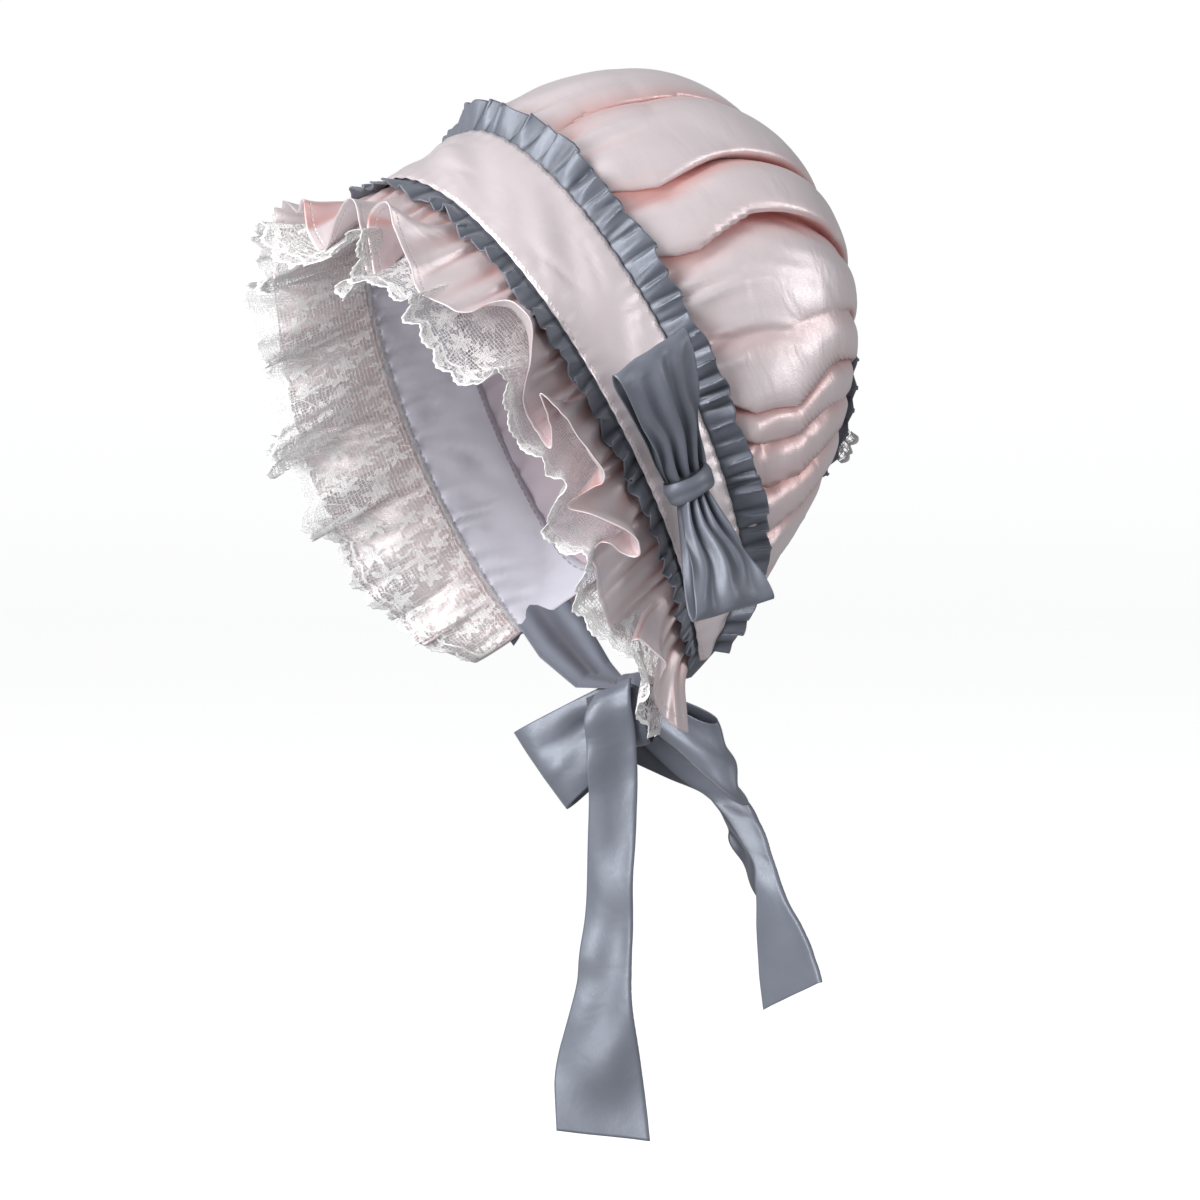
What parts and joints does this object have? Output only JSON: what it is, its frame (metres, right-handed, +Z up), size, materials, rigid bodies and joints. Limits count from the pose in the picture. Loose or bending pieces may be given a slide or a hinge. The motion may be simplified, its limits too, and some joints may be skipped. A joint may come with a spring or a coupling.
{
  "type": "bonnet",
  "caption": "Gathered satin bonnet with a stiff band, ruffled brim edged with lace, a side bow and ribbon ties knotted in a bow under the chin.",
  "frame": {"origin": "the highest point of the lining's inner face, where the bonnet rests on the crown of the head", "axes": "+Z up, the face looks along -Y, the wearer's left is +X; the head is bowed forward as in the picture"},
  "size_m": [0.229, 0.2406, 0.4352],
  "materials": {
    "pink_satin": "pale pink satin with a soft sheen",
    "grey_satin": "blue-grey satin ribbon",
    "white_lace": "fine white net lace",
    "white_lining": "matt white lining cloth"
  },
  "bodies": {
    "root": {"band": "pink_satin", "crown": "pink_satin", "brim_ruffle": "pink_satin", "back_panel": "pink_satin", "front_frill": "grey_satin", "rear_frill": "grey_satin", "back_frill": "grey_satin", "side_bow_upper_loop": "grey_satin", "side_bow_lower_loop": "grey_satin", "side_bow_wrap": "grey_satin", "tie_left": "grey_satin", "tie_right": "grey_satin", "chin_bow_knot": "grey_satin", "chin_bow_front_loop": "grey_satin", "chin_bow_back_loop": "grey_satin", "long_tail": "grey_satin", "short_tail": "grey_satin", "brim_lace": "white_lace", "back_lace_tab": "white_lace", "band_facing": "white_lining", "crown_lining": "white_lining"}
  },
  "joints": []
}
